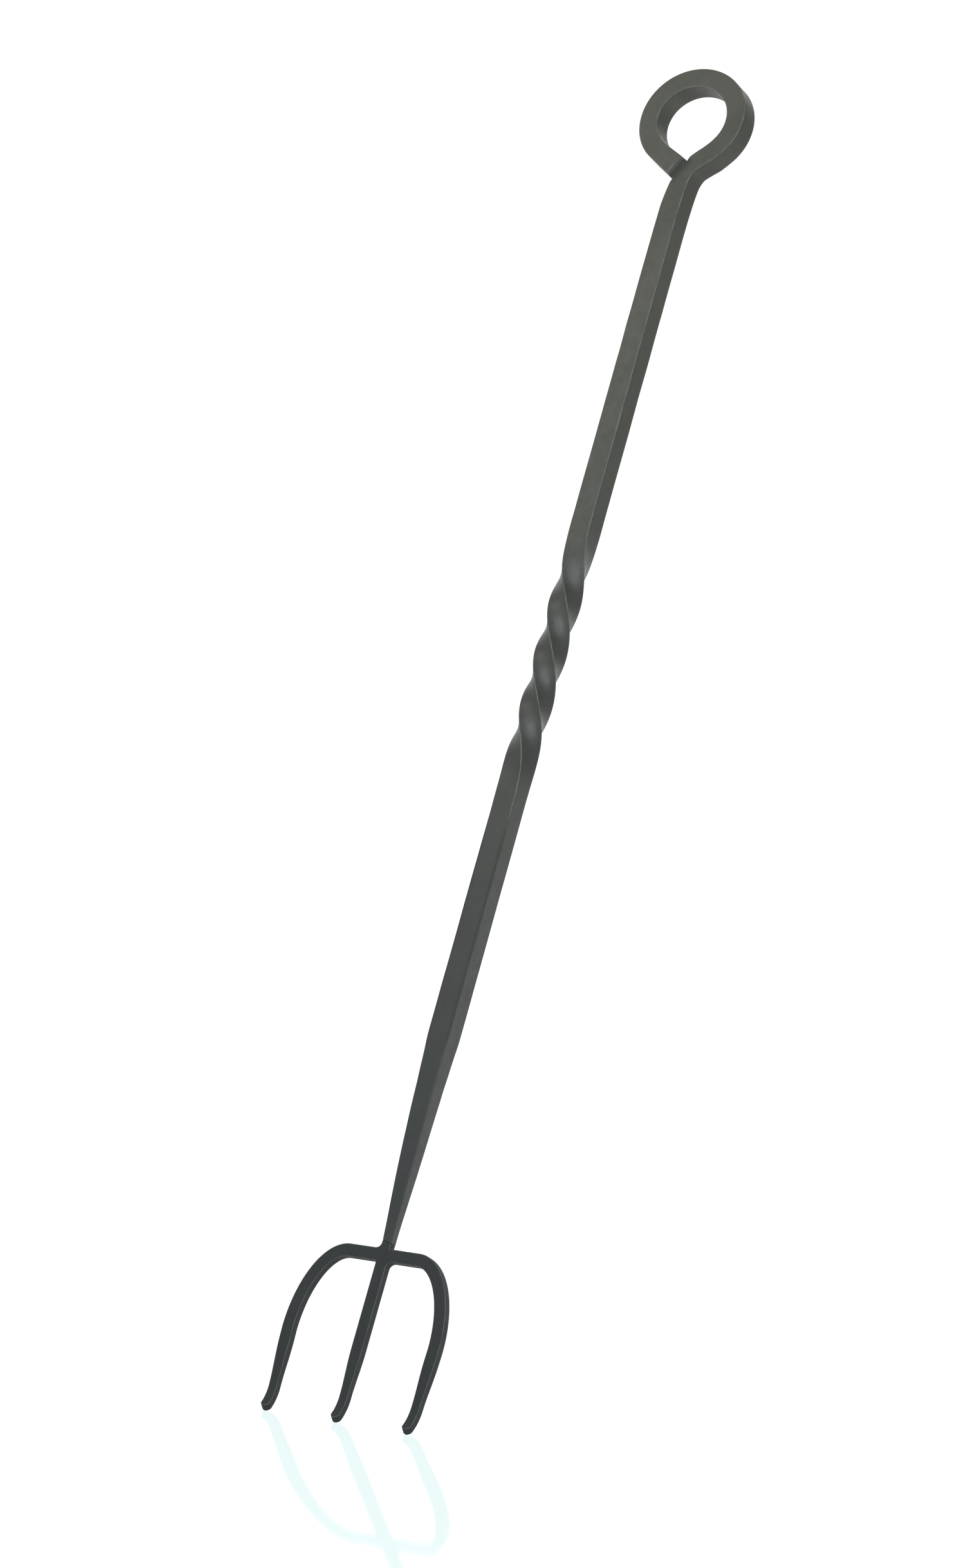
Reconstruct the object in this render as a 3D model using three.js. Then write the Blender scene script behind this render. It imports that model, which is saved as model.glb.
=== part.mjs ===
// A small three-tine fork forged from black iron.
// A square bar, 12 mm across, is bent into a hanging eye at the top, twisted once round in the middle and
// drawn down to a slim neck. The head is a flat bar bent into a U, with a straight middle tine under it.
// Three welds close the eye and hold the head together. The eye and the upper bar stand a couple of degrees
// out of the head's plane, because the twist is a little more than one whole turn.
//
// Millimetres. +Z runs up the shaft, +X to the right along the crossbar, and the front faces -Y.
// The origin is the hanging point: where a hook bears on the inside of the eye, on the shaft's axis.

import * as THREE from 'three';

// Driving dimensions
const BAR = 12;                       // side of the square bar
const EYE_RADIUS = 25.3;              // to the bar's centreline
const EYE_STRETCH = 1.3;              // the eye is a little oval: this much more and less than its radius
const EYE_STRETCH_DEGREES = -17;      // the way it is stretched, from +X towards +Z
const EYE_OFFSET = -1.3;              // the eye's centre lies left of the shaft's axis
const EYE_DEPTH = 18.74;              // and this far below the hanging point
const EYE_BAR_WIDTH = 10.7;           // the bar thins where it bends round the eye
const TWIST_START = -247.7;
const TWIST_LENGTH = 160.7;
const TWIST_DEGREES = 362.3;          // one turn and a little more
const TWIST_RAMP = 0.3;               // share of the length over which the twist comes in, and goes out
const TAPER_START = -534.4;
const NECK_END = -640;
const HEAD_SETBACK = 1.9;             // the head's middle plane lies behind the shaft's axis
const HEAD_OFFSET = 0.3;              // and its middle a little to the right of it
const CROSSBAR_HEIGHT = -646.6;       // height of the crossbar's centreline
const TINE_WIDTH = 6.5;
const TINE_THICKNESS = 4.5;
const TINE_SPREAD = 42.3;             // outer tine's centreline from the shaft's axis
const JOINT_GAP = 0.3;                // clearance between pieces that touch

// Sizes that follow from them
const HALF_TURN = Math.PI;
const TWIST_TURN = THREE.MathUtils.degToRad(TWIST_DEGREES);
const UPPER_TURN = 2 * HALF_TURN - TWIST_TURN;        // the upper bar's turn out of the head's plane
const EYE_CENTRE = new THREE.Vector3(EYE_OFFSET, 0, -EYE_DEPTH);
const DOWN = new THREE.Vector3(0, 0, -1);
const UP = new THREE.Vector3(0, 0, 1);
const BACK = new THREE.Vector3(0, 1, 0);

// Materials
const BLACK_IRON = new THREE.MeshStandardMaterial({ color: 0x3c3d3a, roughness: 0.55, metalness: 0.6 });
const TINE_IRON = new THREE.MeshStandardMaterial({ color: 0x343739, roughness: 0.6, metalness: 0.6 });
const WELD_METAL = new THREE.MeshStandardMaterial({ color: 0x2b2c2b, roughness: 0.75, metalness: 0.5 });

// A station is one cross-section of a bar: its centre, the way the bar runs there, its width across the
// plane of the front face, its thickness from front to back, and how far all of it is then turned about
// the shaft's axis.
function station(centre, along, width, thickness, turn = 0) {
  return { centre, along: along.clone().normalize(), width, thickness, turn };
}

// The bar's section, one unit square, with each corner broken by a small flat.
function brokenSquare(cornerShare) {
  const half = 0.5;
  const flat = half - cornerShare;
  const outline = new THREE.Shape();
  outline.moveTo(half, -flat);
  outline.lineTo(half, flat);
  outline.lineTo(flat, half);
  outline.lineTo(-flat, half);
  outline.lineTo(-half, flat);
  outline.lineTo(-half, -flat);
  outline.lineTo(-flat, -half);
  outline.lineTo(flat, -half);
  outline.closePath();
  return outline;
}

// A forged bar: a straight extrusion with one step per station, each ring of corners then set in its place.
function forgedBar(name, stations, cornerShare, material) {
  const steps = stations.length - 1;
  const geometry = new THREE.ExtrudeGeometry(brokenSquare(cornerShare), {
    depth: steps,
    steps,
    bevelEnabled: false,
  });
  const positions = geometry.attributes.position;
  const corner = new THREE.Vector3();
  const thicknessWay = new THREE.Vector3();
  const widthWay = new THREE.Vector3();
  for (let index = 0; index < positions.count; index += 1) {
    corner.fromBufferAttribute(positions, index);
    const place = stations[Math.round(corner.z)];
    thicknessWay.copy(BACK).addScaledVector(place.along, -place.along.dot(BACK)).normalize();
    widthWay.crossVectors(thicknessWay, place.along);
    const point = place.centre.clone();
    point.addScaledVector(widthWay, corner.x * place.width);
    point.addScaledVector(thicknessWay, corner.y * place.thickness);
    point.applyAxisAngle(UP, place.turn);
    positions.setXYZ(index, point.x, point.y, point.z);
  }
  geometry.computeVertexNormals();
  const bar = new THREE.Mesh(geometry, material);
  bar.name = name;
  return bar;
}

// The eye, from the bar's free end round to the top of the shaft
const STRETCH_ANGLE = THREE.MathUtils.degToRad(EYE_STRETCH_DEGREES);
const TAIL_ANGLE = THREE.MathUtils.degToRad(232);    // where the free end leaves the round, to run straight
const TAIL_LENGTH = 16.6;                            // from there to its cut end
const TAIL_WIDTH = 12;                               // across the cut end
const NECK_ANGLE = THREE.MathUtils.degToRad(-35);    // where the round leaves for the shaft
const EYE_STEPS = 50;

// A point on the bar's centreline
function onEye(angle) {
  const radius = EYE_RADIUS + EYE_STRETCH * Math.cos(2 * (angle - STRETCH_ANGLE));
  return new THREE.Vector3(Math.cos(angle), 0, Math.sin(angle)).multiplyScalar(radius).add(EYE_CENTRE);
}

// The way the bar runs at an angle on the eye, over the top from left to right.
function alongEye(angle) {
  const nearby = 0.001;
  return onEye(angle - nearby).sub(onEye(angle + nearby)).normalize();
}

// The neck's bend, from the eye down into the shaft: [right of the axis, height, width of the bar]
const NECK_BEND = [
  [18.2, -36.2, 10.5],
  [14.5, -39.7, 10.6],
  [10.6, -42.5, 10.2],
  [5.8, -46.6, 9.6],
  [2.7, -51.8, 10.6],
  [1.4, -58, 11.1],
  [0.3, -70, BAR],
  [0, -84, BAR],
];
const NECK_STEPS = 3 * NECK_BEND.length;

function neckCurve() {
  const bend = NECK_BEND.map(([x, z]) => new THREE.Vector3(x, 0, z));
  return new THREE.CatmullRomCurve3([onEye(NECK_ANGLE), ...bend], false, 'catmullrom');
}

// The neck's section at a share of its curve
function neckStation(share) {
  const curve = neckCurve();
  const widths = [EYE_BAR_WIDTH, ...NECK_BEND.map((row) => row[2])];
  const place = share * NECK_BEND.length;
  const before = Math.min(Math.floor(place), NECK_BEND.length - 1);
  const width = THREE.MathUtils.lerp(widths[before], widths[before + 1], place - before);
  return station(curve.getPoint(share), curve.getTangent(share), width, BAR, UPPER_TURN);
}

function eyeStations() {
  const stations = [];
  const tailWay = alongEye(TAIL_ANGLE);
  const tailEnd = onEye(TAIL_ANGLE).addScaledVector(tailWay, -TAIL_LENGTH);
  stations.push(station(tailEnd, tailWay, TAIL_WIDTH, BAR, UPPER_TURN));
  for (let step = 0; step <= EYE_STEPS; step += 1) {
    const angle = THREE.MathUtils.lerp(TAIL_ANGLE, NECK_ANGLE, step / EYE_STEPS);
    stations.push(station(onEye(angle), alongEye(angle), EYE_BAR_WIDTH, BAR, UPPER_TURN));
  }
  for (let step = 1; step <= NECK_STEPS; step += 1) {
    stations.push(neckStation(step / NECK_STEPS));
  }
  return stations;
}

// How much of the twist is done at a share of its length: it starts and stops gently.
function twistDone(share) {
  const rampArea = (part) => TWIST_RAMP * (part ** 3 - part ** 4 / 2);
  const whole = 1 - TWIST_RAMP;
  if (share < TWIST_RAMP) {
    return rampArea(share / TWIST_RAMP) / whole;
  }
  if (share > 1 - TWIST_RAMP) {
    return 1 - rampArea((1 - share) / TWIST_RAMP) / whole;
  }
  return (share - TWIST_RAMP / 2) / whole;
}

const TWIST_STEPS = 48;

function twistStations() {
  const stations = [];
  for (let step = 0; step <= TWIST_STEPS; step += 1) {
    const share = step / TWIST_STEPS;
    const centre = new THREE.Vector3(0, 0, TWIST_START - share * TWIST_LENGTH);
    const turn = UPPER_TURN + TWIST_TURN * twistDone(share);
    stations.push(station(centre, DOWN, BAR, BAR, turn));
  }
  return stations;
}

// The drawn-down lower end: [distance below the shoulder, side of the bar]
const NECK_SIDE = 5.2;
const TAPER = [
  [0, BAR],
  [7, 11.3],
  [22, 9.9],
  [42, 9.1],
  [62, 8.1],
  [80, 6.9],
  [95, 5.7],
  [TAPER_START - NECK_END, NECK_SIDE],
];

function taperStations() {
  const length = TAPER_START - NECK_END;
  return TAPER.map(([drop, side]) => {
    const drift = (drop / length) ** 2;
    const centre = new THREE.Vector3(HEAD_OFFSET * drift, HEAD_SETBACK * drift, TAPER_START - drop);
    return station(centre, DOWN, side, side);
  });
}

function handleBar() {
  const stations = [...eyeStations(), ...twistStations(), ...taperStations()];
  const cornerShare = 0.035;
  return forgedBar('handle_bar', stations, cornerShare, BLACK_IRON);
}

// The tines: full size at the top, slimmer towards the tip, the tip turned forward on an arc
const TAPER_TOP = CROSSBAR_HEIGHT - 49;
const TIP_BEND_START = CROSSBAR_HEIGHT - 72.6;
const TIP_BEND_RADIUS = 20;
const TIP_BEND_ANGLE = THREE.MathUtils.degToRad(35);
const TIP_BEND_STEPS = 7;
const TIP_WIDTH = 4.9;
const TIP_THICKNESS = 4.0;
const TIP_LEAN = 0.035;               // outer tines close in a little towards their tips
const FORWARD_LEAN = 0.008;           // and the whole head leans a little forward
const TIP_ROUNDING = 1.7;             // length over which the end rounds off
const TIP_ROUNDING_SHARES = [0.5, 0.85, 1];
const TIP_WIDTH_ROUNDING = 0.85;      // how nearly the end's width rounds off to nothing
const TIP_THICKNESS_ROUNDING = 0.5;
const TINE_CORNER_SHARE = 0.14;

function tineSection(height) {
  const share = THREE.MathUtils.smoothstep(-height, -TAPER_TOP, -TIP_BEND_START);
  return {
    width: THREE.MathUtils.lerp(TINE_WIDTH, TIP_WIDTH, share),
    thickness: THREE.MathUtils.lerp(TINE_THICKNESS, TIP_THICKNESS, share),
  };
}

// Where the head's middle plane lies at a height
function headPlane(height) {
  return HEAD_SETBACK - FORWARD_LEAN * (CROSSBAR_HEIGHT - height);
}

// Stations from a height down to the tip, at a distance from the shaft's axis; lean closes the tine inward.
function tineStations(side, distance, topHeight, lean) {
  const stations = [];
  const along = new THREE.Vector3(-side * lean, 0, -1).normalize();
  const straightSteps = 5;
  for (let step = 0; step <= straightSteps; step += 1) {
    const height = THREE.MathUtils.lerp(topHeight, TIP_BEND_START, step / straightSteps);
    const inward = lean * (topHeight - height);
    const centre = new THREE.Vector3(side * (distance - inward), headPlane(height), height);
    const { width, thickness } = tineSection(height);
    stations.push(station(centre, along, width, thickness));
  }
  const bendTop = stations[stations.length - 1].centre;
  for (let step = 1; step <= TIP_BEND_STEPS; step += 1) {
    const angle = TIP_BEND_ANGLE * (step / TIP_BEND_STEPS);
    const drop = TIP_BEND_RADIUS * Math.sin(angle);
    const forward = TIP_BEND_RADIUS * (1 - Math.cos(angle));
    const centre = new THREE.Vector3(-side * lean * drop, -forward, -drop).add(bendTop);
    const way = new THREE.Vector3(-side * lean, -Math.sin(angle), -Math.cos(angle));
    stations.push(station(centre, way, TIP_WIDTH, TIP_THICKNESS));
  }
  const end = stations[stations.length - 1];
  TIP_ROUNDING_SHARES.forEach((share) => {
    const centre = end.centre.clone().addScaledVector(end.along, TIP_ROUNDING * share);
    const width = TIP_WIDTH * Math.sqrt(1 - TIP_WIDTH_ROUNDING * share ** 2);
    const thickness = TIP_THICKNESS * Math.sqrt(1 - TIP_THICKNESS_ROUNDING * share ** 2);
    stations.push(station(centre, end.along, width, thickness));
  });
  return stations;
}

// The U bar's shoulder: a quarter of an ellipse from the crossbar's end to the side of the head.
const SHOULDER_REACH = 22.4;
const SHOULDER_DROP = 42.7;
const SHOULDER_STEPS = 16;

function shoulderStations(side) {
  const stations = [];
  const inner = TINE_SPREAD - SHOULDER_REACH;
  for (let step = 0; step < SHOULDER_STEPS; step += 1) {
    const angle = (HALF_TURN / 2) * (1 - step / SHOULDER_STEPS);
    const x = side * (inner + SHOULDER_REACH * Math.cos(angle));
    const z = CROSSBAR_HEIGHT - SHOULDER_DROP * (1 - Math.sin(angle));
    const centre = new THREE.Vector3(x, headPlane(z), z);
    const outward = SHOULDER_REACH * Math.sin(angle);
    const down = SHOULDER_DROP * Math.cos(angle);
    const way = new THREE.Vector3(side * outward, 0, -down);
    stations.push(station(centre, way, TINE_WIDTH, TINE_THICKNESS));
  }
  return stations;
}

function tineBow() {
  const half = (side) => [
    ...shoulderStations(side),
    ...tineStations(side, TINE_SPREAD, CROSSBAR_HEIGHT - SHOULDER_DROP, TIP_LEAN),
  ];
  const left = half(-1).reverse();
  left.forEach((place) => place.along.negate());
  return forgedBar('tine_bow', [...left, ...half(1)], TINE_CORNER_SHARE, TINE_IRON);
}

// The middle tine stops short of the crossbar; its weld fills the space between.
const CENTRE_WELD_HEIGHT = 3.4;
const CROSSBAR_UNDERSIDE = CROSSBAR_HEIGHT - TINE_WIDTH / 2;
const CROSSBAR_TOP = CROSSBAR_HEIGHT + TINE_WIDTH / 2;
const CENTRE_TINE_TOP = CROSSBAR_UNDERSIDE - CENTRE_WELD_HEIGHT;

function centreTine() {
  return forgedBar('centre_tine', tineStations(1, 0, CENTRE_TINE_TOP, 0), TINE_CORNER_SHARE, TINE_IRON);
}

// A weld: an outline in the plane of the front face, given as [x, z] points, with a thickness front to back.
function weld(name, points, thickness, middle, material) {
  const outline = new THREE.Shape(points.map(([x, z]) => new THREE.Vector2(x, z)));
  const geometry = new THREE.ExtrudeGeometry(outline, { depth: thickness, bevelEnabled: false });
  geometry.rotateX(HALF_TURN / 2);
  geometry.translate(0, middle + thickness / 2, 0);
  const bead = new THREE.Mesh(geometry, material);
  bead.name = name;
  return bead;
}

// The eye's weld lies between the bar's cut end and the neck's left side.
const EYE_WELD_SUNK = 0.8;            // below the bar's front and back faces
const EYE_WELD_INSET = 0.6;           // inside the cut end's corners
const EYE_WELD_HIGH = 0.47;           // shares of the neck's curve between which the weld meets it
const EYE_WELD_LOW = 0.66;
const EYE_WELD_STEPS = 4;

function eyeWeld() {
  const tailWay = alongEye(TAIL_ANGLE);
  const outward = new THREE.Vector3(-tailWay.z, 0, tailWay.x);
  const cutEnd = onEye(TAIL_ANGLE).addScaledVector(tailWay, -TAIL_LENGTH - JOINT_GAP);
  const halfCut = TAIL_WIDTH / 2 - EYE_WELD_INSET;
  const points = [halfCut, -halfCut].map((offset) => {
    const corner = cutEnd.clone().addScaledVector(outward, offset);
    return [corner.x, corner.z];
  });
  for (let step = 0; step <= EYE_WELD_STEPS; step += 1) {
    const share = THREE.MathUtils.lerp(EYE_WELD_HIGH, EYE_WELD_LOW, step / EYE_WELD_STEPS);
    const { centre, along, width } = neckStation(share);
    const leftSide = new THREE.Vector3(along.z, 0, -along.x);
    const edge = centre.addScaledVector(leftSide, width / 2 + JOINT_GAP);
    points.push([edge.x, edge.z]);
  }
  const bead = weld('eye_weld', points, BAR - 2 * EYE_WELD_SUNK, 0, WELD_METAL);
  bead.geometry.rotateZ(UPPER_TURN);
  return bead;
}

// The two welds of the head flare out onto the crossbar, wide on one side and tight on the other. Part of
// the way from the crossbar, at the flare's knee, most of the flare is gone.
const FLARE_WIDE = 2.4;
const FLARE_TIGHT = 1;
const FLARE_KNEE = 0.35;              // share of the way
const FLARE_AT_KNEE = 0.3;       // share of the flare

function flaredWeld(name, crossbarFace, farFace, narrowWidth, leftFlare, rightFlare) {
  const half = narrowWidth / 2;
  const knee = THREE.MathUtils.lerp(crossbarFace, farFace, FLARE_KNEE);
  const points = [
    [-half - leftFlare, crossbarFace],
    [-half - leftFlare * FLARE_AT_KNEE, knee],
    [-half, farFace],
    [half, farFace],
    [half + rightFlare * FLARE_AT_KNEE, knee],
    [half + rightFlare, crossbarFace],
  ];
  return weld(name, points, TINE_THICKNESS, HEAD_SETBACK, TINE_IRON);
}

function neckWeld() {
  const base = CROSSBAR_TOP + JOINT_GAP;
  return flaredWeld('neck_weld', base, NECK_END - JOINT_GAP, NECK_SIDE, FLARE_WIDE, FLARE_TIGHT);
}

function centreTineWeld() {
  const base = CROSSBAR_UNDERSIDE - JOINT_GAP;
  const end = CENTRE_TINE_TOP + JOINT_GAP;
  return flaredWeld('centre_tine_weld', base, end, TINE_WIDTH, FLARE_TIGHT, FLARE_WIDE);
}

const head = new THREE.Group();
head.position.x = HEAD_OFFSET;
head.add(tineBow(), centreTine(), neckWeld(), centreTineWeld());

const fork = new THREE.Group();
fork.add(handleBar(), eyeWeld(), head);

export default fork;
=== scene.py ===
"""Looks of a small forged three-tine fork: worn square bar, a hanging eye, a twist and a welded head.

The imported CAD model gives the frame, in metres: +Z up the shaft, -Y the front, the origin at the hanging
point. Sizes are millimetres, which finish_piece turns into metres, down to the stage, which is in metres.
"""

import math

import bmesh
import bpy
import numpy as np
from mathutils import Matrix, Vector, noise

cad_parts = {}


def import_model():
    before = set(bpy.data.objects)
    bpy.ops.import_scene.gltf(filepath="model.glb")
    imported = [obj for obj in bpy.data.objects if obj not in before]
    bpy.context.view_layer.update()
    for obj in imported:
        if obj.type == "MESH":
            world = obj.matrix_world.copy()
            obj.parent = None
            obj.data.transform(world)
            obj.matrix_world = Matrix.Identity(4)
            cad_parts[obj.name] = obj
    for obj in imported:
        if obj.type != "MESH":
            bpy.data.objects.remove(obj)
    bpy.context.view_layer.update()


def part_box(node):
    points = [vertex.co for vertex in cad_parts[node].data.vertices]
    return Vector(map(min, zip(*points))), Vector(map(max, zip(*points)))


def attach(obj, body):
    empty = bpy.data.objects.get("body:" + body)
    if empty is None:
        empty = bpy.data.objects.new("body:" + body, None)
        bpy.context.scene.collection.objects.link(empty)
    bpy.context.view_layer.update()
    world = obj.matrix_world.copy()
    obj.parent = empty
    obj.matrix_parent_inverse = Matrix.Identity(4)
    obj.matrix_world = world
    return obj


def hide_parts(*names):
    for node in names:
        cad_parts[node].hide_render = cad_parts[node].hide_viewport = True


MM = 0.001

# Driving dimensions, the same as the design's
BAR = 12.0
EYE_RADIUS = 25.3
EYE_STRETCH = 1.3
EYE_STRETCH_ANGLE = math.radians(-17)
EYE_CENTRE = np.array((-1.3, 0.0, -18.74))
EYE_BAR_WIDTH = 10.7
TAIL_ANGLE = math.radians(232)
TAIL_LENGTH = 16.6
TAIL_WIDTH = 12.0
NECK_ANGLE = math.radians(-35)
NECK_BEND = (                         # right of the axis, height, width of the bar
    (18.2, -36.2, 10.5),
    (14.5, -39.7, 10.6),
    (10.6, -42.5, 10.2),
    (5.8, -46.6, 9.6),
    (2.7, -51.8, 10.6),
    (1.4, -58.0, 11.1),
    (0.3, -70.0, BAR),
    (0.0, -84.0, BAR),
)
TWIST_START = -247.7
TWIST_LENGTH = 160.7
TWIST_TURN = math.radians(362.3)
UPPER_TURN = 2 * math.pi - TWIST_TURN
TWIST_RAMP = 0.3
TAPER_START = -534.4
NECK_END = -640.0
NECK_SIDE = 5.2
TAPER = (                             # below the shoulder, side of the bar
    (-8.0, BAR),
    (0.0, BAR),
    (7.0, 11.3),
    (22.0, 9.9),
    (42.0, 9.1),
    (62.0, 8.1),
    (80.0, 6.9),
    (95.0, 5.7),
    (105.6, NECK_SIDE),
)
HEAD_SETBACK = 1.9
HEAD_OFFSET = 0.3
CROSSBAR_HEIGHT = -646.6
TINE_WIDTH = 6.5
TINE_THICKNESS = 4.5
TINE_SPREAD = 42.3
SHOULDER_REACH = 22.4
SHOULDER_DROP = 42.7
TIP_LEAN = 0.035
FORWARD_LEAN = 0.008
TIP_BEND_RADIUS = 20.0
TIP_BEND_ANGLE = math.radians(35)
TIP_WIDTH = 4.9
TIP_THICKNESS = 4.0

DOWN = np.array((0.0, 0.0, -1.0))
BACK = np.array((0.0, 1.0, 0.0))

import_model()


def smoothstep(value, low, high):
    share = np.clip((value - low) / (high - low), 0, 1)
    return share * share * (3 - 2 * share)


def lerp(low, high, share):
    return low + (high - low) * share


def unit(vectors):
    return vectors / np.linalg.norm(vectors, axis=-1, keepdims=True)


def turned_about_z(points, angle):
    x, y, z = np.asarray(points).T
    return np.column_stack((
        x * math.cos(angle) - y * math.sin(angle),
        x * math.sin(angle) + y * math.cos(angle),
        z,
    ))


def curve_through(points, place):
    """A place on the smooth curve through the points, counted from one point to the next."""
    span = min(int(place), len(points) - 2)
    share = place - span
    second, third = points[span], points[span + 1]
    first = points[span - 1] if span > 0 else 2 * second - third
    last = points[span + 2] if span + 2 < len(points) else 2 * third - second
    return 0.5 * (
        2 * second
        + (third - first) * share
        + (2 * first - 5 * second + 4 * third - last) * share**2
        + (3 * second - first - 3 * third + last) * share**3
    )


# ---------------------------------------------------------------- materials

def add_node(tree, kind, settings=None, inputs=None):
    """A node with its settings, and its inputs set to values or linked to other nodes' outputs."""
    made = tree.nodes.new("ShaderNode" + kind)
    for name, value in (settings or {}).items():
        setattr(made, name, value)
    for name, value in (inputs or {}).items():
        if isinstance(value, bpy.types.NodeSocket):
            tree.links.new(value, made.inputs[name])
        else:
            made.inputs[name].default_value = value
    return made


def noise_of(tree, place, size, detail=3.0, roughness=0.55):
    """Cloudy noise from 0 to 1 with features of the given size in millimetres."""
    texture = add_node(tree, "TexNoise", inputs={
        "Vector": place, "Scale": 1 / (size * MM), "Detail": detail, "Roughness": roughness,
    })
    return texture.outputs["Fac"]


def ranged(tree, value, low, high, new_low, new_high, interpolation="LINEAR"):
    """A value carried from one range to another, and held at its ends."""
    made = add_node(tree, "MapRange", {"interpolation_type": interpolation}, {
        "Value": value, "From Min": low, "From Max": high, "To Min": new_low, "To Max": new_high,
    })
    return made.outputs["Result"]


def mixed(tree, share, first, second, blend="MIX"):
    made = add_node(tree, "MixRGB", {"blend_type": blend}, {"Fac": share, "Color1": first, "Color2": second})
    return made.outputs["Color"]


def attribute_of(tree, name):
    """A share from 0 to 1 that the mesh carries at each of its points."""
    return add_node(tree, "Attribute", {"attribute_name": name}).outputs["Fac"]


# The iron is lighter and warmer near the eye and darker and cooler at the head, the tines darker still:
# partly its own tone, partly painted light, brighter where more light falls up high
HIGH_IRON = (0.036, 0.038, 0.0295)
LOW_IRON = (0.0212, 0.0258, 0.0272)
TINE_COLOUR = (0.024, 0.0275, 0.029)
# Corners rubbed lighter: partly real wear, partly a painted highlight along the edges
WORN_AND_HIGHLIT_BAR = (0.110, 0.110, 0.097)
WORN_AND_HIGHLIT_TINE = (0.100, 0.108, 0.110)
# Darker where the weld scorched the iron, and painted shade in dark lines along the lower shaft's corners
SCORCHED_AND_SHADED = (0.0175, 0.0185, 0.0145)
WARMER = (1.2, 1.0, 0.86)             # multiplies the colour where there is a breath of rust
SCORCHED_ROUGHNESS = 0.68
WORN_ROUGHNESS = 0.38
UNEVEN_ROUGHNESS = 0.06               # the plain surface's roughness varies by this, up and down
HIGH_AND_LOW = (-0.12, -0.6)          # the heights, in metres, where the two colours are reached; the change between them is partly painted light
MOTTLING = {"patches": 0.22, "blotches": 0.16, "streaks": 0.12, "speckle": 0.34, "grain": 0.2}
BUMP_DEPTHS = {"blotches": 0.05, "streaks": 0.018, "speckle": 0.010}    # millimetres


def iron_marks(tree, place):
    """The noises that mark the iron, from broad patches to the finest grain."""
    drawn_out = add_node(tree, "Mapping", inputs={"Vector": place, "Scale": (1, 1, 0.3)}).outputs["Vector"]
    return {
        "patches": noise_of(tree, place, 17),
        "blotches": noise_of(tree, place, 4.5),
        "streaks": noise_of(tree, drawn_out, 2.2),
        "speckle": noise_of(tree, place, 0.9, detail=4.0, roughness=0.7),
        "grain": noise_of(tree, place, 0.3, detail=2.0),
    }


def scale_colour(tree, place, marks, scorch_and_edge_shade, high_colour, low_colour):
    """Mottled black scale, with a little rust in it, before its corners are rubbed."""
    height = add_node(tree, "SeparateXYZ", inputs={"Vector": place}).outputs["Z"]
    # lighter high up, darker low down: partly painted light and shade
    lowness = ranged(tree, height, *HIGH_AND_LOW, 0.0, 1.0)
    colour = mixed(tree, lowness, (*high_colour, 1), (*low_colour, 1))
    # scorched by the weld, and painted shade along the lower shaft's corners
    colour = mixed(tree, scorch_and_edge_shade, colour, (*SCORCHED_AND_SHADED, 1))
    for name, strength in MOTTLING.items():
        tone = ranged(tree, marks[name], 0.25, 0.75, 1 - strength / 2, 1 + strength / 2)
        colour = mixed(tree, 1.0, colour, tone, "MULTIPLY")
    rust = ranged(tree, marks["blotches"], 0.55, 0.8, 0.0, 0.35, "SMOOTHSTEP")
    rusted = mixed(tree, 1.0, colour, (*WARMER, 1), "MULTIPLY")
    return mixed(tree, rust, colour, rusted)


def rubbed_and_highlit_corners(tree, streaks, wear_and_highlight):
    """How far each place is rubbed bright, partly as a painted highlight: only the corners are, and
    patchily.
    """
    corner = attribute_of(tree, "edge_wear_and_highlight")
    patchy = ranged(tree, streaks, 0.2, 0.7, 0.55, 1.0)
    rubbed_and_highlit = add_node(tree, "Math", {"operation": "MULTIPLY"}, {0: corner, 1: patchy}).outputs["Value"]
    return ranged(tree, rubbed_and_highlit, 0.3, 0.95, 0.0, wear_and_highlight, "SMOOTHSTEP")


def bumpy_normal(tree, marks, relief):
    """The surface's direction with its hammer marks, streaks and pits laid over one another."""
    normal = None
    for name, depth in BUMP_DEPTHS.items():
        inputs = {"Height": marks[name], "Distance": depth * relief * MM, "Strength": 1.0}
        if normal:
            inputs["Normal"] = normal
        normal = add_node(tree, "Bump", inputs=inputs).outputs["Normal"]
    return normal


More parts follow.
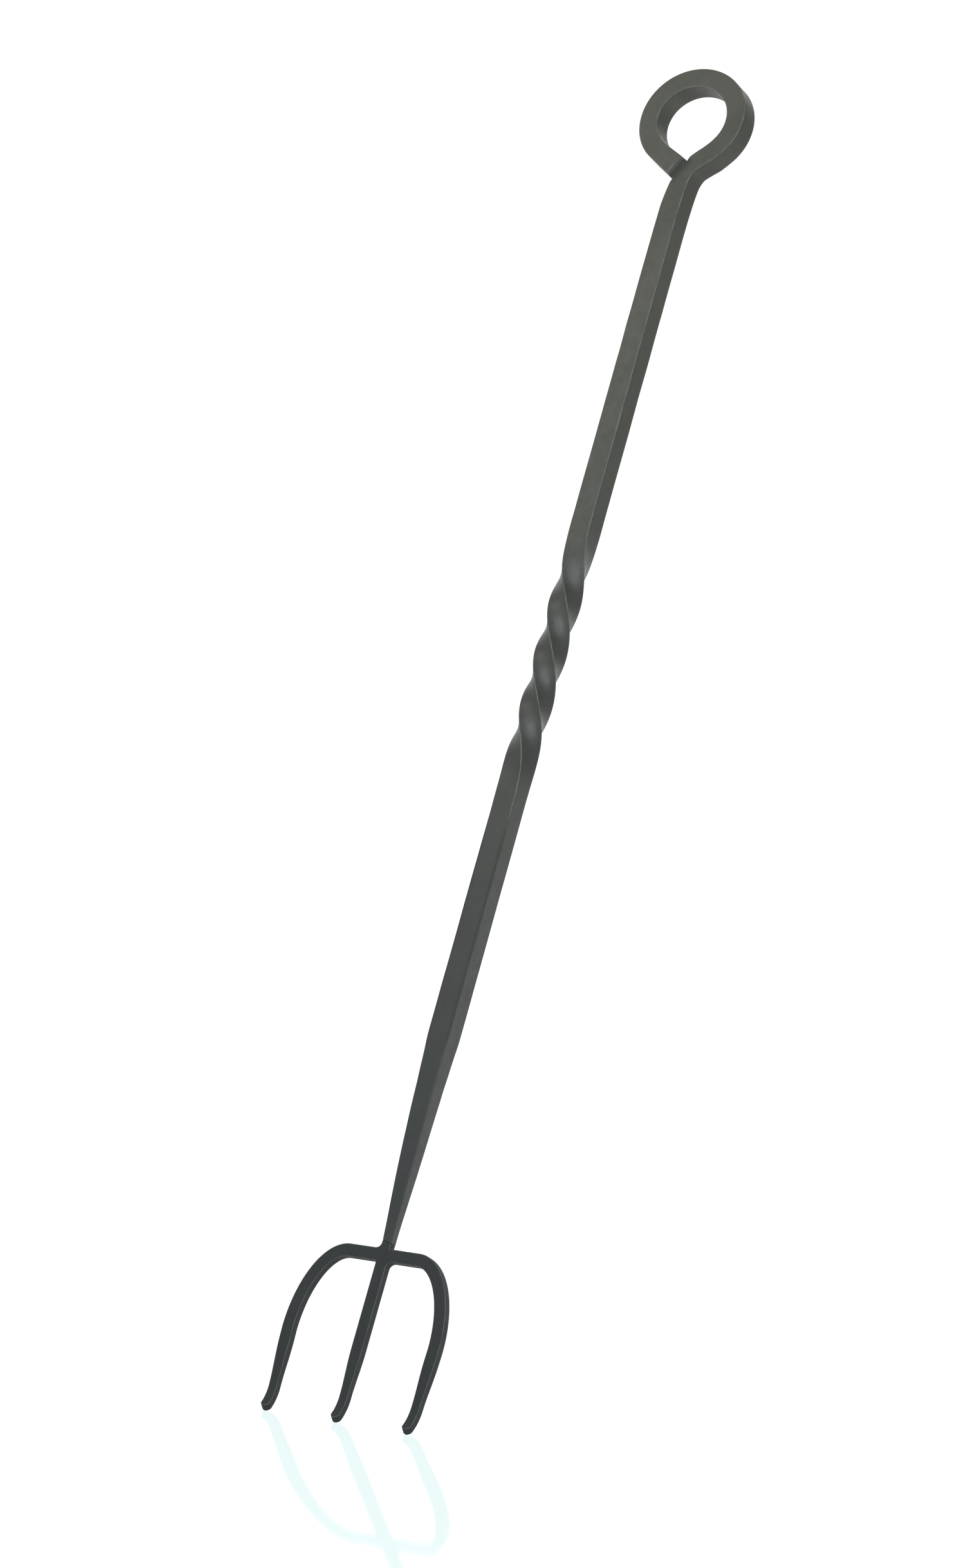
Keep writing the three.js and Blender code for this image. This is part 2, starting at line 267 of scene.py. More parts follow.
def iron(name, high_colour, low_colour, worn_and_highlit_colour, roughness, gloss, wear_and_highlight, relief):
    """Blackened iron: mottled scale, fine grain, corners rubbed lighter with a painted highlight along them,
    and a hammered, pitted surface.

    The colour goes from high_colour near the eye to low_colour at the head, partly painted light that is
    brighter high up, and is darker and duller where the weld scorched it and, as painted shade, along the
    lower shaft's corners. wear_and_highlight is how far the corners are rubbed lighter, partly as a painted
    highlight, and relief how deep the surface is marked, both about 1 on the plain bar.
    """
    material = bpy.data.materials.new(name)
    material.use_nodes = True
    tree = material.node_tree
    place = add_node(tree, "TexCoord").outputs["Object"]
    marks = iron_marks(tree, place)
    scorch_and_edge_shade = attribute_of(tree, "scorch_and_edge_shade")
    rubbed_and_highlit = rubbed_and_highlit_corners(tree, marks["streaks"], wear_and_highlight)

    colour = scale_colour(tree, place, marks, scorch_and_edge_shade, high_colour, low_colour)
    # rubbed corners lighter, partly a painted highlight
    colour = mixed(tree, rubbed_and_highlit, colour, (*worn_and_highlit_colour, 1))
    smoothest, roughest = roughness - UNEVEN_ROUGHNESS, roughness + UNEVEN_ROUGHNESS
    dull = ranged(tree, marks["blotches"], 0.3, 0.7, smoothest, roughest)
    dull = mixed(tree, scorch_and_edge_shade, dull, (SCORCHED_ROUGHNESS,) * 3 + (1,))
    dull = mixed(tree, rubbed_and_highlit, dull, (WORN_ROUGHNESS,) * 3 + (1,))

    shader = tree.nodes["Principled BSDF"]
    tree.links.new(colour, shader.inputs["Base Color"])
    tree.links.new(dull, shader.inputs["Roughness"])
    tree.links.new(bumpy_normal(tree, marks, relief), shader.inputs["Normal"])
    shader.inputs["Specular IOR Level"].default_value = gloss
    return material


MATERIALS = {
    "black_iron": iron(
        "black_iron", HIGH_IRON, LOW_IRON, WORN_AND_HIGHLIT_BAR, roughness=0.45, gloss=0.5, wear_and_highlight=1.0, relief=1.0,
    ),
    "tine_iron": iron(
        "tine_iron", LOW_IRON, TINE_COLOUR, WORN_AND_HIGHLIT_TINE, roughness=0.65, gloss=0.3, wear_and_highlight=0.7, relief=1.2,
    ),
    "weld_metal": iron(
        "weld_metal", HIGH_IRON, LOW_IRON, WORN_AND_HIGHLIT_BAR, roughness=0.5, gloss=0.5, wear_and_highlight=0.5, relief=2.0,
    ),
}


# ---------------------------------------------------------------- meshes

def bare_mesh(name, points, faces, edge_wear_and_highlight, scorch_and_edge_shade):
    """A mesh of millimetre points, each with a share of wear and painted edge highlight, and of the weld's
    scorching and painted edge shade.
    """
    mesh = bpy.data.meshes.new(name)
    mesh.from_pydata(np.asarray(points).tolist(), [], faces)
    for mark, shares in (("edge_wear_and_highlight", edge_wear_and_highlight), ("scorch_and_edge_shade", scorch_and_edge_shade)):
        attribute = mesh.attributes.new(mark, "FLOAT", "POINT")
        attribute.data.foreach_set("value", np.broadcast_to(shares, len(points)).astype(np.float32))
    return mesh


def finish_piece(mesh, node, slot):
    """The mesh as a smooth piece in metres, standing for one CAD node."""
    mesh.transform(Matrix.Scale(MM, 4))
    smooth_all_but_sharp_edges(mesh)
    mesh.materials.append(MATERIALS[slot])
    piece = bpy.data.objects.new(node + "_forged", mesh)
    bpy.context.scene.collection.objects.link(piece)
    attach(piece, "root")
    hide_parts(node)


def smooth_all_but_sharp_edges(mesh, sharp_angle=math.radians(50)):
    editable = bmesh.new()
    editable.from_mesh(mesh)
    bmesh.ops.recalc_face_normals(editable, faces=editable.faces)
    for face in editable.faces:
        face.smooth = True
    for edge in editable.edges:
        edge.smooth = edge.is_manifold and edge.calc_face_angle() < sharp_angle
    editable.to_mesh(mesh)
    editable.free()


def unevenness(points, size, height, seed):
    """How far a forged surface is off at each point: soft swells of the given size and height."""
    shift = Vector((seed, 2 * seed, 3 * seed))
    return np.array([height * noise.noise(Vector(point) / size + shift) for point in points])


# ---------------------------------------------------------------- the bar: eye, twist and taper

CORNER_STEPS = 6
FACE_STEPS = 8
CORNER_ROUNDING = 0.35
HAMMERED = 0.02                       # the bar's faces lie this far inside its full size,
HAMMER_SWELL = 0.09                   # and rise and fall by about half of this


class Bar:
    """A forged bar as a row of cross-sections, each a rounded rectangle set across the bar's run."""

    def __init__(self):
        self.rings = []

    def add(self, centre, way, width, thickness, turn=0.0, rounding=CORNER_ROUNDING):
        """A section, set in its place and then turned about the shaft's axis."""
        way = unit(np.asarray(way, float))
        across = unit(BACK - way * (way @ BACK))
        sideways = np.cross(across, way)
        outline = rounded_rectangle(width / 2, thickness / 2, rounding)
        ring = np.asarray(centre) + outline[:, :1] * sideways + outline[:, 1:] * across
        self.rings.append(turned_about_z(ring, turn))


def rounded_rectangle(half_width, half_thickness, rounding):
    """Outline points: four corner arcs, joined by points along the faces."""
    arcs = []
    for quarter, (side, face) in enumerate(((1, 1), (-1, 1), (-1, -1), (1, -1))):
        middle = np.array((side * (half_width - rounding), face * (half_thickness - rounding)))
        angles = math.pi / 2 * (quarter + np.arange(CORNER_STEPS + 1) / CORNER_STEPS)
        arcs.append(middle + rounding * np.column_stack((np.cos(angles), np.sin(angles))))
    points = []
    for quarter, arc in enumerate(arcs):
        following = arcs[(quarter + 1) % 4][0]
        shares = np.arange(1, FACE_STEPS)[:, None] / FACE_STEPS
        points.extend(arc)
        points.extend(lerp(arc[-1], following, shares))
    return np.array(points)


def corner_share():
    """For each of an outline's points: 1 in the middle of a corner, 0.6 at its ends, 0 along the faces."""
    bend = np.abs(np.arange(CORNER_STEPS + 1) / CORNER_STEPS * 2 - 1)
    return np.tile(np.concatenate((1 - 0.4 * bend, np.zeros(FACE_STEPS - 1))), 4)


def skin_of_rings(count, around):
    """Quads between neighbouring rings, and one face over each end."""
    faces = []
    for ring in range(count - 1):
        low, high = ring * around, (ring + 1) * around
        for index in range(around):
            following = (index + 1) % around
            faces.append((low + index, low + following, high + following, high + index))
    faces.append(tuple(range(around)))
    faces.append(tuple(range((count - 1) * around, count * around)))
    return faces


def on_eye(angle):
    """A point of the eye's centreline."""
    radius = EYE_RADIUS + EYE_STRETCH * math.cos(2 * (angle - EYE_STRETCH_ANGLE))
    return EYE_CENTRE + radius * np.array((math.cos(angle), 0.0, math.sin(angle)))


def along_eye(angle, nearby=0.001):
    return unit(on_eye(angle - nearby) - on_eye(angle + nearby))


TAIL_STEP = 0.35
EYE_SECTIONS = 150
NECK_SECTIONS = 56


def add_tail(bar):
    """The bar's free end, from its cut to where it joins the round."""
    way = along_eye(TAIL_ANGLE)
    for length in np.arange(TAIL_LENGTH, 0, -TAIL_STEP):
        width = lerp(EYE_BAR_WIDTH, TAIL_WIDTH, length / TAIL_LENGTH)
        bar.add(on_eye(TAIL_ANGLE) - way * length, way, width, BAR, UPPER_TURN)


def add_eye(bar):
    for angle in np.linspace(TAIL_ANGLE, NECK_ANGLE, EYE_SECTIONS):
        bar.add(on_eye(angle), along_eye(angle), EYE_BAR_WIDTH, BAR, UPPER_TURN)


def add_neck_bend(bar):
    """The bend from the end of the eye's round to the straight shaft."""
    start = on_eye(NECK_ANGLE)
    bend = np.array([(start[0], start[2], EYE_BAR_WIDTH), *NECK_BEND])
    places = np.linspace(0, len(NECK_BEND), NECK_SECTIONS)
    centres = np.array([curve_through(bend[:, :2], place) for place in places])
    widths = np.interp(places, np.arange(len(bend)), bend[:, 2])
    ways = np.gradient(centres, axis=0)
    for centre, way, width in list(zip(centres, ways, widths))[1:]:
        bar.add((centre[0], 0, centre[1]), (way[0], 0, way[1]), width, BAR, UPPER_TURN)


def twist_done(share):
    """How much of the twist is done at a share of its length: it starts and stops gently."""
    def ramp_area(part):
        return TWIST_RAMP * (part**3 - part**4 / 2)

    whole = 1 - TWIST_RAMP
    if share < TWIST_RAMP:
        return ramp_area(share / TWIST_RAMP) / whole
    if share > 1 - TWIST_RAMP:
        return 1 - ramp_area((1 - share) / TWIST_RAMP) / whole
    return (share - TWIST_RAMP / 2) / whole


CUT_WAY = -along_eye(TAIL_ANGLE)                       # out of the cut end, towards the neck
CUT_ACROSS = np.array((CUT_WAY[2], 0.0, -CUT_WAY[0]))  # across the cut, away from the eye's middle
CUT_END = on_eye(TAIL_ANGLE) + CUT_WAY * TAIL_LENGTH
WELD_DIP = 1.2                        # how deep the hollow along the weld is, below both faces
BEVEL_LENGTH = 2.6                    # the bar's free end starts to dip this far before its cut
HOLLOW_LENGTH = 7.5                   # and the neck is level again this far past it
SCORCHED_NEAR = 0.2                   # how far the iron near the weld is scorched


def bevel_start(side):
    """Where the bevel of the bar's free end starts, a little later towards its two sides."""
    return -BEVEL_LENGTH + 0.7 * np.minimum(np.abs(side) / (TAIL_WIDTH / 2), 1) ** 2


def weld_hollow(run, side):
    """1 in the bottom of the hollow along the eye's weld; run is from the cut, side across it."""
    start = bevel_start(side)
    bevel = np.clip((run - start) / -start, 0, 1) ** 0.8
    hollow = 1 - smoothstep(run, 0.3, HOLLOW_LENGTH)
    beside = 1 - smoothstep(np.abs(side), TAIL_WIDTH / 2, TAIL_WIDTH / 2 + 3)
    return np.where(run < 0, bevel, hollow) * beside


def scorching(run, side):
    """How far the weld's heat dulled the iron: fully in the hollow, faintly along the neck and the eye."""
    faint = SCORCHED_NEAR * smoothstep(run, 0, 10) * (1 - smoothstep(run, 12, 38))
    return np.maximum(weld_hollow(run, side), faint)


def at_weld(points):
    """Where points lie along and across the eye's weld, once turned square with it."""
    from_cut = turned_about_z(points, -UPPER_TURN) - CUT_END
    return from_cut @ CUT_WAY, from_cut @ CUT_ACROSS


def worn_and_highlit_bevel(points):
    """1 along the edge where the bevel of the bar's free end starts, rubbed light there and partly a painted
    highlight.
    """
    run, side = at_weld(points)
    return np.clip(1 - np.abs(run - bevel_start(side)) / 0.5, 0, 1) * (np.abs(side) < TAIL_WIDTH)


SHAFT_STEP = 2.5
TWIST_SECTIONS = 140
TAPER_STEP = 1.5
TAPER_ABOVE = 3.5                     # the taper's first section is this far above its shoulder


def add_shaft(bar):
    """The straight upper shaft, the twist and the straight lower shaft."""
    twist_end = TWIST_START - TWIST_LENGTH
    for height in np.arange(NECK_BEND[-1][1] - SHAFT_STEP, TWIST_START, -SHAFT_STEP):
        bar.add((0, 0, height), DOWN, BAR, BAR, UPPER_TURN)
    for share in np.linspace(0, 1, TWIST_SECTIONS):
        turn = UPPER_TURN + TWIST_TURN * twist_done(share)
        bar.add((0, 0, TWIST_START - share * TWIST_LENGTH), DOWN, BAR, BAR, turn)
    lowest = TAPER_START + TAPER_ABOVE + TAPER_STEP
    for height in np.arange(twist_end - SHAFT_STEP, lowest, -SHAFT_STEP):
        bar.add((0, 0, height), DOWN, BAR, BAR)


TAPER_LENGTH = TAPER_START - NECK_END
TAPER_SOFTENING = 4                   # how far each way the taper's changes of slope are spread
TAPER_ROUNDING = 0.5
TAPER_FULLNESS = 0.75                 # how much wider than the design's it is high up, and less lower down
TAPER_FILLS = (4, 22)                 # below the shoulder: here that fullness comes in
SEAM_SLOPE = -0.28                    # the seam between bar and head slants across the front
SEAM_REACH = 6                        # the slant starts this far above the seam
SEAM_ROUNDING = 0.35                  # how far each of the two rounds in at it


def taper_side(drop):
    """The side of the square bar, at a drop below the taper's shoulder."""
    drops, sides = np.transpose(TAPER)
    nearby = drop + np.linspace(-TAPER_SOFTENING, TAPER_SOFTENING, 9)
    fullness = TAPER_FULLNESS * smoothstep(drop, *TAPER_FILLS) * (1 - drop / TAPER_LENGTH)
    return np.interp(nearby, drops, sides).mean() + fullness


def add_taper(bar):
    """The drawn-down lower end, down to the seam with the head."""
    drops = np.arange(-TAPER_ABOVE, TAPER_LENGTH - 1, TAPER_STEP)
    for drop in (*drops, TAPER_LENGTH - SEAM_ROUNDING, TAPER_LENGTH):
        run = max(drop, 0) / TAPER_LENGTH
        side = taper_side(drop)
        if drop == TAPER_LENGTH:
            side -= 2 * SEAM_ROUNDING
        centre = (HEAD_OFFSET * run**2, HEAD_SETBACK * run**2, TAPER_START - drop)
        rounding = lerp(CORNER_ROUNDING, TAPER_ROUNDING, smoothstep(drop, 0, 15))
        bar.add(centre, DOWN, side, side, rounding=rounding)


LIGHT_CORNERS_FADE = (405, 440)               # below the origin: here the light corners, worn and with a painted highlight, give way to dark lines of painted shade, and here the dark lines end
DARK_ENDS = (530, 545)                # and here the dark lines end
WORN_AND_HIGHLIT_BELOW = 0.1                      # the wear and painted highlight that are left below the twist
DARK_BELOW = 0.9                      # how dark the lines of painted shade are


def bar_wear_and_highlight(points, corner):
    """The corners rubbed light down to the twist's end, and the edge of the bevel at the weld, both partly a
    painted highlight.
    """
    faded = smoothstep(-points[:, 2], *LIGHT_CORNERS_FADE)
    return np.maximum(corner * lerp(1, WORN_AND_HIGHLIT_BELOW, faded), worn_and_highlit_bevel(points))


def bar_scorch_and_edge_shade(points, corner):
    """Scorched round the weld, and painted shade in dark lines along the corners of the lower shaft."""
    depth = -points[:, 2]
    lower_shaft = smoothstep(depth, *LIGHT_CORNERS_FADE) * (1 - smoothstep(depth, *DARK_ENDS))
    return np.maximum(scorching(*at_weld(points)), DARK_BELOW * corner * lower_shaft)


def pressed_in_at_weld(points):
    """The front and the back pressed in to the bottom of the hollow along the eye's weld."""
    hollow = WELD_DIP * weld_hollow(*at_weld(points))
    return points - (hollow * points[:, 1] / (BAR / 2))[:, None] * BACK


def slanted_at_seam(points):
    """The neck's lower end cut at the slant of its seam with the head."""
    x, y, z = points.T
    near_seam = smoothstep(-z, -NECK_END - SEAM_REACH, -NECK_END)
    return np.column_stack((x, y, z + near_seam * SEAM_SLOPE * (x - HEAD_OFFSET)))


def hammered(points, around):
    """The bar's skin moved in and out along its sections, as hammering leaves it."""
    rings = points.reshape(-1, around, 3)
    outward = unit((rings - rings.mean(axis=1, keepdims=True)).reshape(-1, 3))
    return points - outward * (HAMMERED + unevenness(points, 14, HAMMER_SWELL, seed=1.0))[:, None]


def handle_bar():
    bar = Bar()
    add_tail(bar)
    add_eye(bar)
    add_neck_bend(bar)
    add_shaft(bar)
    add_taper(bar)
    rings = np.array(bar.rings)
    count, around = rings.shape[:2]
    points = rings.reshape(-1, 3)
    corner = np.tile(corner_share(), count)
    wear_and_highlight = bar_wear_and_highlight(points, corner)
    scorch_and_edge_shade = bar_scorch_and_edge_shade(points, corner)
    points = hammered(slanted_at_seam(pressed_in_at_weld(points)), around)
    mesh = bare_mesh("handle_bar", points, skin_of_rings(count, around), wear_and_highlight, scorch_and_edge_shade)
    finish_piece(mesh, "handle_bar", "black_iron")


# ---------------------------------------------------------------- surfaces from distance fields

def round_join(first, second, radius):
    """Distance to two shapes joined with a fillet."""
    return np.maximum(radius, np.minimum(first, second)) - np.hypot(
        np.maximum(radius - first, 0), np.maximum(radius - second, 0)
    )


def rounded_meet(first, second, rounding):
    """Distance to where two shapes overlap, with the edge between them rounded."""
    first, second = first + rounding, second + rounding
    corner = np.hypot(np.maximum(first, 0), np.maximum(second, 0))
    return np.minimum(np.maximum(first, second), 0) + corner - rounding


def sampled_surface(distance, low, high, spacing):
    """The zero surface of a distance function of x, depth and z, between two corners."""
    low = np.array(low, float)
    counts = np.ceil((np.array(high) - low) / spacing).astype(int) + 1
    x, depth, z = [low[axis] + spacing * np.arange(counts[axis]) for axis in range(3)]
    field = distance(x[:, None, None], depth[None, :, None], z[None, None, :])
    points, number = points_in_cells(field)
    quads = quads_between_cells(field < 0, number)
    return settled_on(distance, low + points * spacing), quads.tolist()


def points_in_cells(field):
    """A point in each cell that the field's zero surface crosses, and each cell's point's number."""
    inside = field < 0
    cells = tuple(size - 1 for size in field.shape)
    total = np.zeros(cells + (3,))
    hits = np.zeros(cells)
    whole = [slice(None, -1), slice(1, None)]
    for axis in range(3):
        others = [other for other in range(3) if other != axis]
        for first in (0, 1):
            for second in (0, 1):
                offset = np.zeros(3, int)
                offset[others[0]] = first
                offset[others[1]] = second
                near = tuple(whole[step] for step in offset)
                offset_far = offset.copy()
                offset_far[axis] = 1
                far = tuple(whole[step] for step in offset_far)
                crossed = inside[near] != inside[far]
                share = field[near][crossed] / (field[near][crossed] - field[far][crossed])
                place = np.tile(offset.astype(float), (len(share), 1))
                place[:, axis] += share
                total[crossed] += place
                hits[crossed] += 1
    used = hits > 0
    number = np.full(cells, -1)
    number[used] = np.arange(used.sum())
    return np.argwhere(used) + total[used] / hits[used][:, None], number


def quads_between_cells(inside, number):
    """A quad round each grid edge that crosses the surface, joining the four cells around that edge."""
    quads = []
    for axis in range(3):
        first, second = (axis + 1) % 3, (axis + 2) % 3
        near = [slice(1, -1)] * 3
        near[axis] = slice(None, -1)
        far = list(near)
        far[axis] = slice(1, None)
        crossed = np.argwhere(inside[tuple(near)] != inside[tuple(far)])
        corner = crossed + 1
        corner[:, axis] -= 1
        leaving = inside[tuple(corner.T)]
        step_first = np.eye(3, dtype=int)[first]
        step_second = np.eye(3, dtype=int)[second]
        around = [corner, corner - step_first, corner - step_first - step_second, corner - step_second]
        ring = np.column_stack([number[tuple(cell.T)] for cell in around])
        ring[~leaving] = ring[~leaving][:, ::-1]
        quads.append(ring)
    return np.vstack(quads)


def settled_on(distance, points, steps=3):
    """Points moved along the slope of a distance field onto its zero surface."""
    probe = 0.01
    least_slope = 0.5
    for _ in range(steps):
        here = distance(*points.T)
        slope = np.column_stack([
            (distance(*(points + probe * way).T) - here) / probe for way in np.eye(3)
        ])
        steepness = np.maximum((slope**2).sum(axis=1), least_slope**2)
        points = points - slope * (here / steepness)[:, None]
    return points


# ---------------------------------------------------------------- the eye's weld

WELD_SLACK = 0.2                      # inside the sides of the bar's free end
WELD_REACH = (-1.6, 4.6)              # from the cut end: back under the bevel, and on to the neck
WELD_ROUNDING = 0.7
WELD_FEATHERED = 0.5                  # how far it thins out towards the neck
WELD_LUMPS = 0.16
WELD_GRID = 0.32


def weld_distance(run, depth, side):
    """Distance to the weld, with run measured from the bar's cut end and side across it."""
    middle, half_run = np.mean(WELD_REACH), np.ptp(WELD_REACH) / 2
    feathered = WELD_FEATHERED * smoothstep(run, 2.6, WELD_REACH[1])
    half_thickness = BAR / 2 - WELD_DIP * weld_hollow(np.maximum(run, 0), side) - feathered
    ends = np.maximum(np.abs(run - middle) - half_run, np.abs(side) - TAIL_WIDTH / 2 + WELD_SLACK)
    return rounded_meet(ends, np.abs(depth) - half_thickness, WELD_ROUNDING)


def eye_weld():
    """Weld metal between the bar's cut end and the neck, in the hollow that dips to it."""
    reach = TAIL_WIDTH / 2 + 1
    low, high = (WELD_REACH[0] - 1, -reach, -reach), (WELD_REACH[1] + 1, reach, reach)
    points, quads = sampled_surface(weld_distance, low, high, WELD_GRID)
    run, depth, side = points.T
    on_a_face = np.abs(depth) > BAR / 4
    depth = depth + on_a_face * np.sign(depth) * unevenness(points, 2.4, WELD_LUMPS, seed=5.0)
    placed = CUT_END + run[:, None] * CUT_WAY + side[:, None] * CUT_ACROSS + depth[:, None] * BACK
    placed = turned_about_z(placed, UPPER_TURN)
    mesh = bare_mesh("eye_weld", placed, quads, 0, scorching(np.maximum(run, 0), side))
    finish_piece(mesh, "eye_weld", "weld_metal")


# ---------------------------------------------------------------- the head, one skin cut into its pieces

HEAD_GRID = 0.3
SLIMMING_START = CROSSBAR_HEIGHT - 49
TIP_BEND_START = CROSSBAR_HEIGHT - 72.6
TIP_END = TIP_BEND_START - TIP_BEND_RADIUS * TIP_BEND_ANGLE - 1.6
EDGE_ROUNDING = 0.5
EDGE_WEAR_AND_HIGHLIGHT = 3.0                       # how far the wear and painted highlight spread from a rounded edge's middle
SHOULDER_STEPS = 60
WIDE_FILLET = 3.2
TIGHT_FILLET = 0.7
FILLET_MARGIN = 0.4                   # the welds start this far off the crossbar's straight sides
TINE_WELD_HEIGHT = 3.0
MIDDLE_REACH = TINE_SPREAD / 3        # the cuts between the pieces stay within this of the middle


def distance_to_line(x, z, start, end):
    run_x, run_z = end[0] - start[0], end[1] - start[1]
    share = ((x - start[0]) * run_x + (z - start[1]) * run_z) / (run_x**2 + run_z**2)
    share = np.clip(share, 0, 1)
    return np.hypot(x - start[0] - share * run_x, z - start[1] - share * run_z)


def bow_line():
    """The U bar's centreline on its right half, with straight tines as before the tips are bent."""
    inner = TINE_SPREAD - SHOULDER_REACH
    line = [(0.0, CROSSBAR_HEIGHT)]
    for angle in np.linspace(math.pi / 2, 0, SHOULDER_STEPS + 1):
        line.append((
            inner + SHOULDER_REACH * math.cos(angle),
            CROSSBAR_HEIGHT - SHOULDER_DROP * (1 - math.sin(angle)),
        ))
    tip_height = TIP_END + TIP_WIDTH / 2
    closed_in = TIP_LEAN * (CROSSBAR_HEIGHT - SHOULDER_DROP - tip_height)
    line.append((TINE_SPREAD - closed_in, tip_height))
    return line


BOW_LINE = bow_line()


def slimness(z):
    """0 where a tine has its full size, 1 where it is as slim as its tip."""
    return smoothstep(-z, -SLIMMING_START, -TIP_BEND_START)


def head_outline(x, z):
    """Distance to the head's outline in the plane of its front face."""
    half_width = lerp(TINE_WIDTH, TIP_WIDTH, slimness(z)) / 2
    bow = np.full(np.broadcast(x, z).shape, 1e3)
    for start, end in zip(BOW_LINE, BOW_LINE[1:]):
        bow = np.minimum(bow, distance_to_line(np.abs(x), z, start, end))
    bow = bow - half_width
    above = smoothstep(z, CROSSBAR_HEIGHT - 2, CROSSBAR_HEIGHT + 2)
    tip = (0.0, TIP_END + TIP_WIDTH / 2)
    middle = distance_to_line(x, z, (0.0, CROSSBAR_HEIGHT + 20), tip)
    middle = middle - lerp(half_width, NECK_SIDE / 2, above)
    wide = (x * (z - CROSSBAR_HEIGHT)) < 0
    return round_join(bow, middle, np.where(wide, WIDE_FILLET, TIGHT_FILLET))


def head_distance(x, depth, z):
    """Distance to the head, with x from its middle and depth from its middle plane, tips not yet bent."""
    thicker = smoothstep(z, CROSSBAR_HEIGHT + 3.5, NECK_END) * (NECK_SIDE - TINE_THICKNESS)
    half_thickness = (lerp(TINE_THICKNESS, TIP_THICKNESS, slimness(z)) + thicker) / 2
    return rounded_meet(head_outline(x, z), np.abs(depth) - half_thickness, EDGE_ROUNDING)


def bent_tips(points):
    """Head points moved to their places: the tips turned forward, the head leaning and set back."""
    x, depth, z = points.T
    below = np.maximum(TIP_BEND_START - z, 0)
    angle = np.minimum(below / TIP_BEND_RADIUS, TIP_BEND_ANGLE)
    straight = below - angle * TIP_BEND_RADIUS
    forward = TIP_BEND_RADIUS * (1 - np.cos(angle)) + straight * np.sin(angle)
    drop = TIP_BEND_RADIUS * np.sin(angle) + straight * np.cos(angle)
    height = np.maximum(z, TIP_BEND_START)
    plane = HEAD_SETBACK - FORWARD_LEAN * (CROSSBAR_HEIGHT - height)
    y = plane - forward + depth * np.cos(angle)
    return np.column_stack((x + HEAD_OFFSET, y, height - drop - depth * np.sin(angle)))


def edge_share_of_head(points):
    """1 on the head's rounded edges, 0 on its flat faces."""
    x, depth, z = points.T
    half_thickness = lerp(TINE_THICKNESS, TIP_THICKNESS, slimness(z)) / 2
    side = np.clip((head_outline(x, z) + EDGE_ROUNDING) / EDGE_ROUNDING, 0, 1)
    face = np.clip((np.abs(depth) - half_thickness + EDGE_ROUNDING) / EDGE_ROUNDING, 0, 1)
    return np.clip(side * face * EDGE_WEAR_AND_HIGHLIGHT, 0, 1)


def head_skin():
    """The whole head as one editable mesh, from tips to the seam with the bar."""
    reach = TINE_SPREAD + TINE_WIDTH
    low, high = (-reach, -TINE_THICKNESS, TIP_END - 2), (reach, TINE_THICKNESS, NECK_END + 6)
    points, quads = sampled_surface(head_distance, low, high, HEAD_GRID)
    mesh = bare_mesh("head", bent_tips(points), quads, edge_share_of_head(points), 0)
    skin = bmesh.new()
    skin.from_mesh(mesh)
    bmesh.ops.recalc_face_normals(skin, faces=skin.faces)
    seam_middle = Vector((HEAD_OFFSET, 0, NECK_END))
    seam_normal = Vector((-SEAM_SLOPE, 0, 1)).normalized()
    cut_across(skin, seam_middle, seam_normal, clear=True)
    return skin


def cut_across(skin, place, normal, clear=False):
    """New edges where a plane crosses the middle of the head; clear takes away what is above it."""
    near = [face for face in skin.faces if abs(face.calc_center_median().x) < MIDDLE_REACH]
    edges = dict.fromkeys(edge for face in near for edge in face.edges)
    verts = dict.fromkeys(vert for face in near for vert in face.verts)
    bmesh.ops.bisect_plane(
        skin, geom=[*verts, *edges, *near], plane_co=place, plane_no=normal, clear_outer=clear, dist=1e-5,
    )


def head_pieces():
    """The head's skin cut level into its four pieces, each closed over where it was cut."""
    skin = head_skin()
    crossbar_top = CROSSBAR_HEIGHT + TINE_WIDTH / 2 + FILLET_MARGIN
    crossbar_underside = CROSSBAR_HEIGHT - TINE_WIDTH / 2 - FILLET_MARGIN
    tine_top = crossbar_underside - TINE_WELD_HEIGHT
    for level in (crossbar_top, crossbar_underside, tine_top):
        cut_across(skin, Vector((0, 0, level)), Vector((0, 0, 1)))

    def owner(face):
        centre = face.calc_center_median()
        if centre.z > crossbar_top:
            return "neck_weld"
        if centre.z > crossbar_underside or abs(centre.x - HEAD_OFFSET) > MIDDLE_REACH:
            return "tine_bow"
        return "centre_tine_weld" if centre.z > tine_top else "centre_tine"

    for node in ("tine_bow", "centre_tine", "neck_weld", "centre_tine_weld"):
        part = skin.copy()
        others = [face for face in part.faces if owner(face) != node]
        bmesh.ops.delete(part, geom=others, context="FACES")
        rims = [edge for edge in part.edges if edge.is_boundary]
        bmesh.ops.holes_fill(part, edges=rims, sides=0)
        mesh = bpy.data.meshes.new(node)
        part.to_mesh(mesh)
        part.free()
        finish_piece(mesh, node, "tine_iron")
    skin.free()


# ---------------------------------------------------------------- the stage, in metres

CAMERA_LENS = 114.72                  # millimetres, on a sensor 36 mm across
CAMERA_DISTANCE = 2.53108
CAMERA_AIM = Vector((-0.016148, 0, -0.39748))
CAMERA_AZIMUTH = math.radians(32.636)
CAMERA_ELEVATION = math.radians(-16.798)
CAMERA_ROLL = math.radians(15.697)
TO_CAMERA = Vector((
    math.sin(CAMERA_AZIMUTH) * math.cos(CAMERA_ELEVATION),
    -math.cos(CAMERA_AZIMUTH) * math.cos(CAMERA_ELEVATION),
    math.sin(CAMERA_ELEVATION),
))


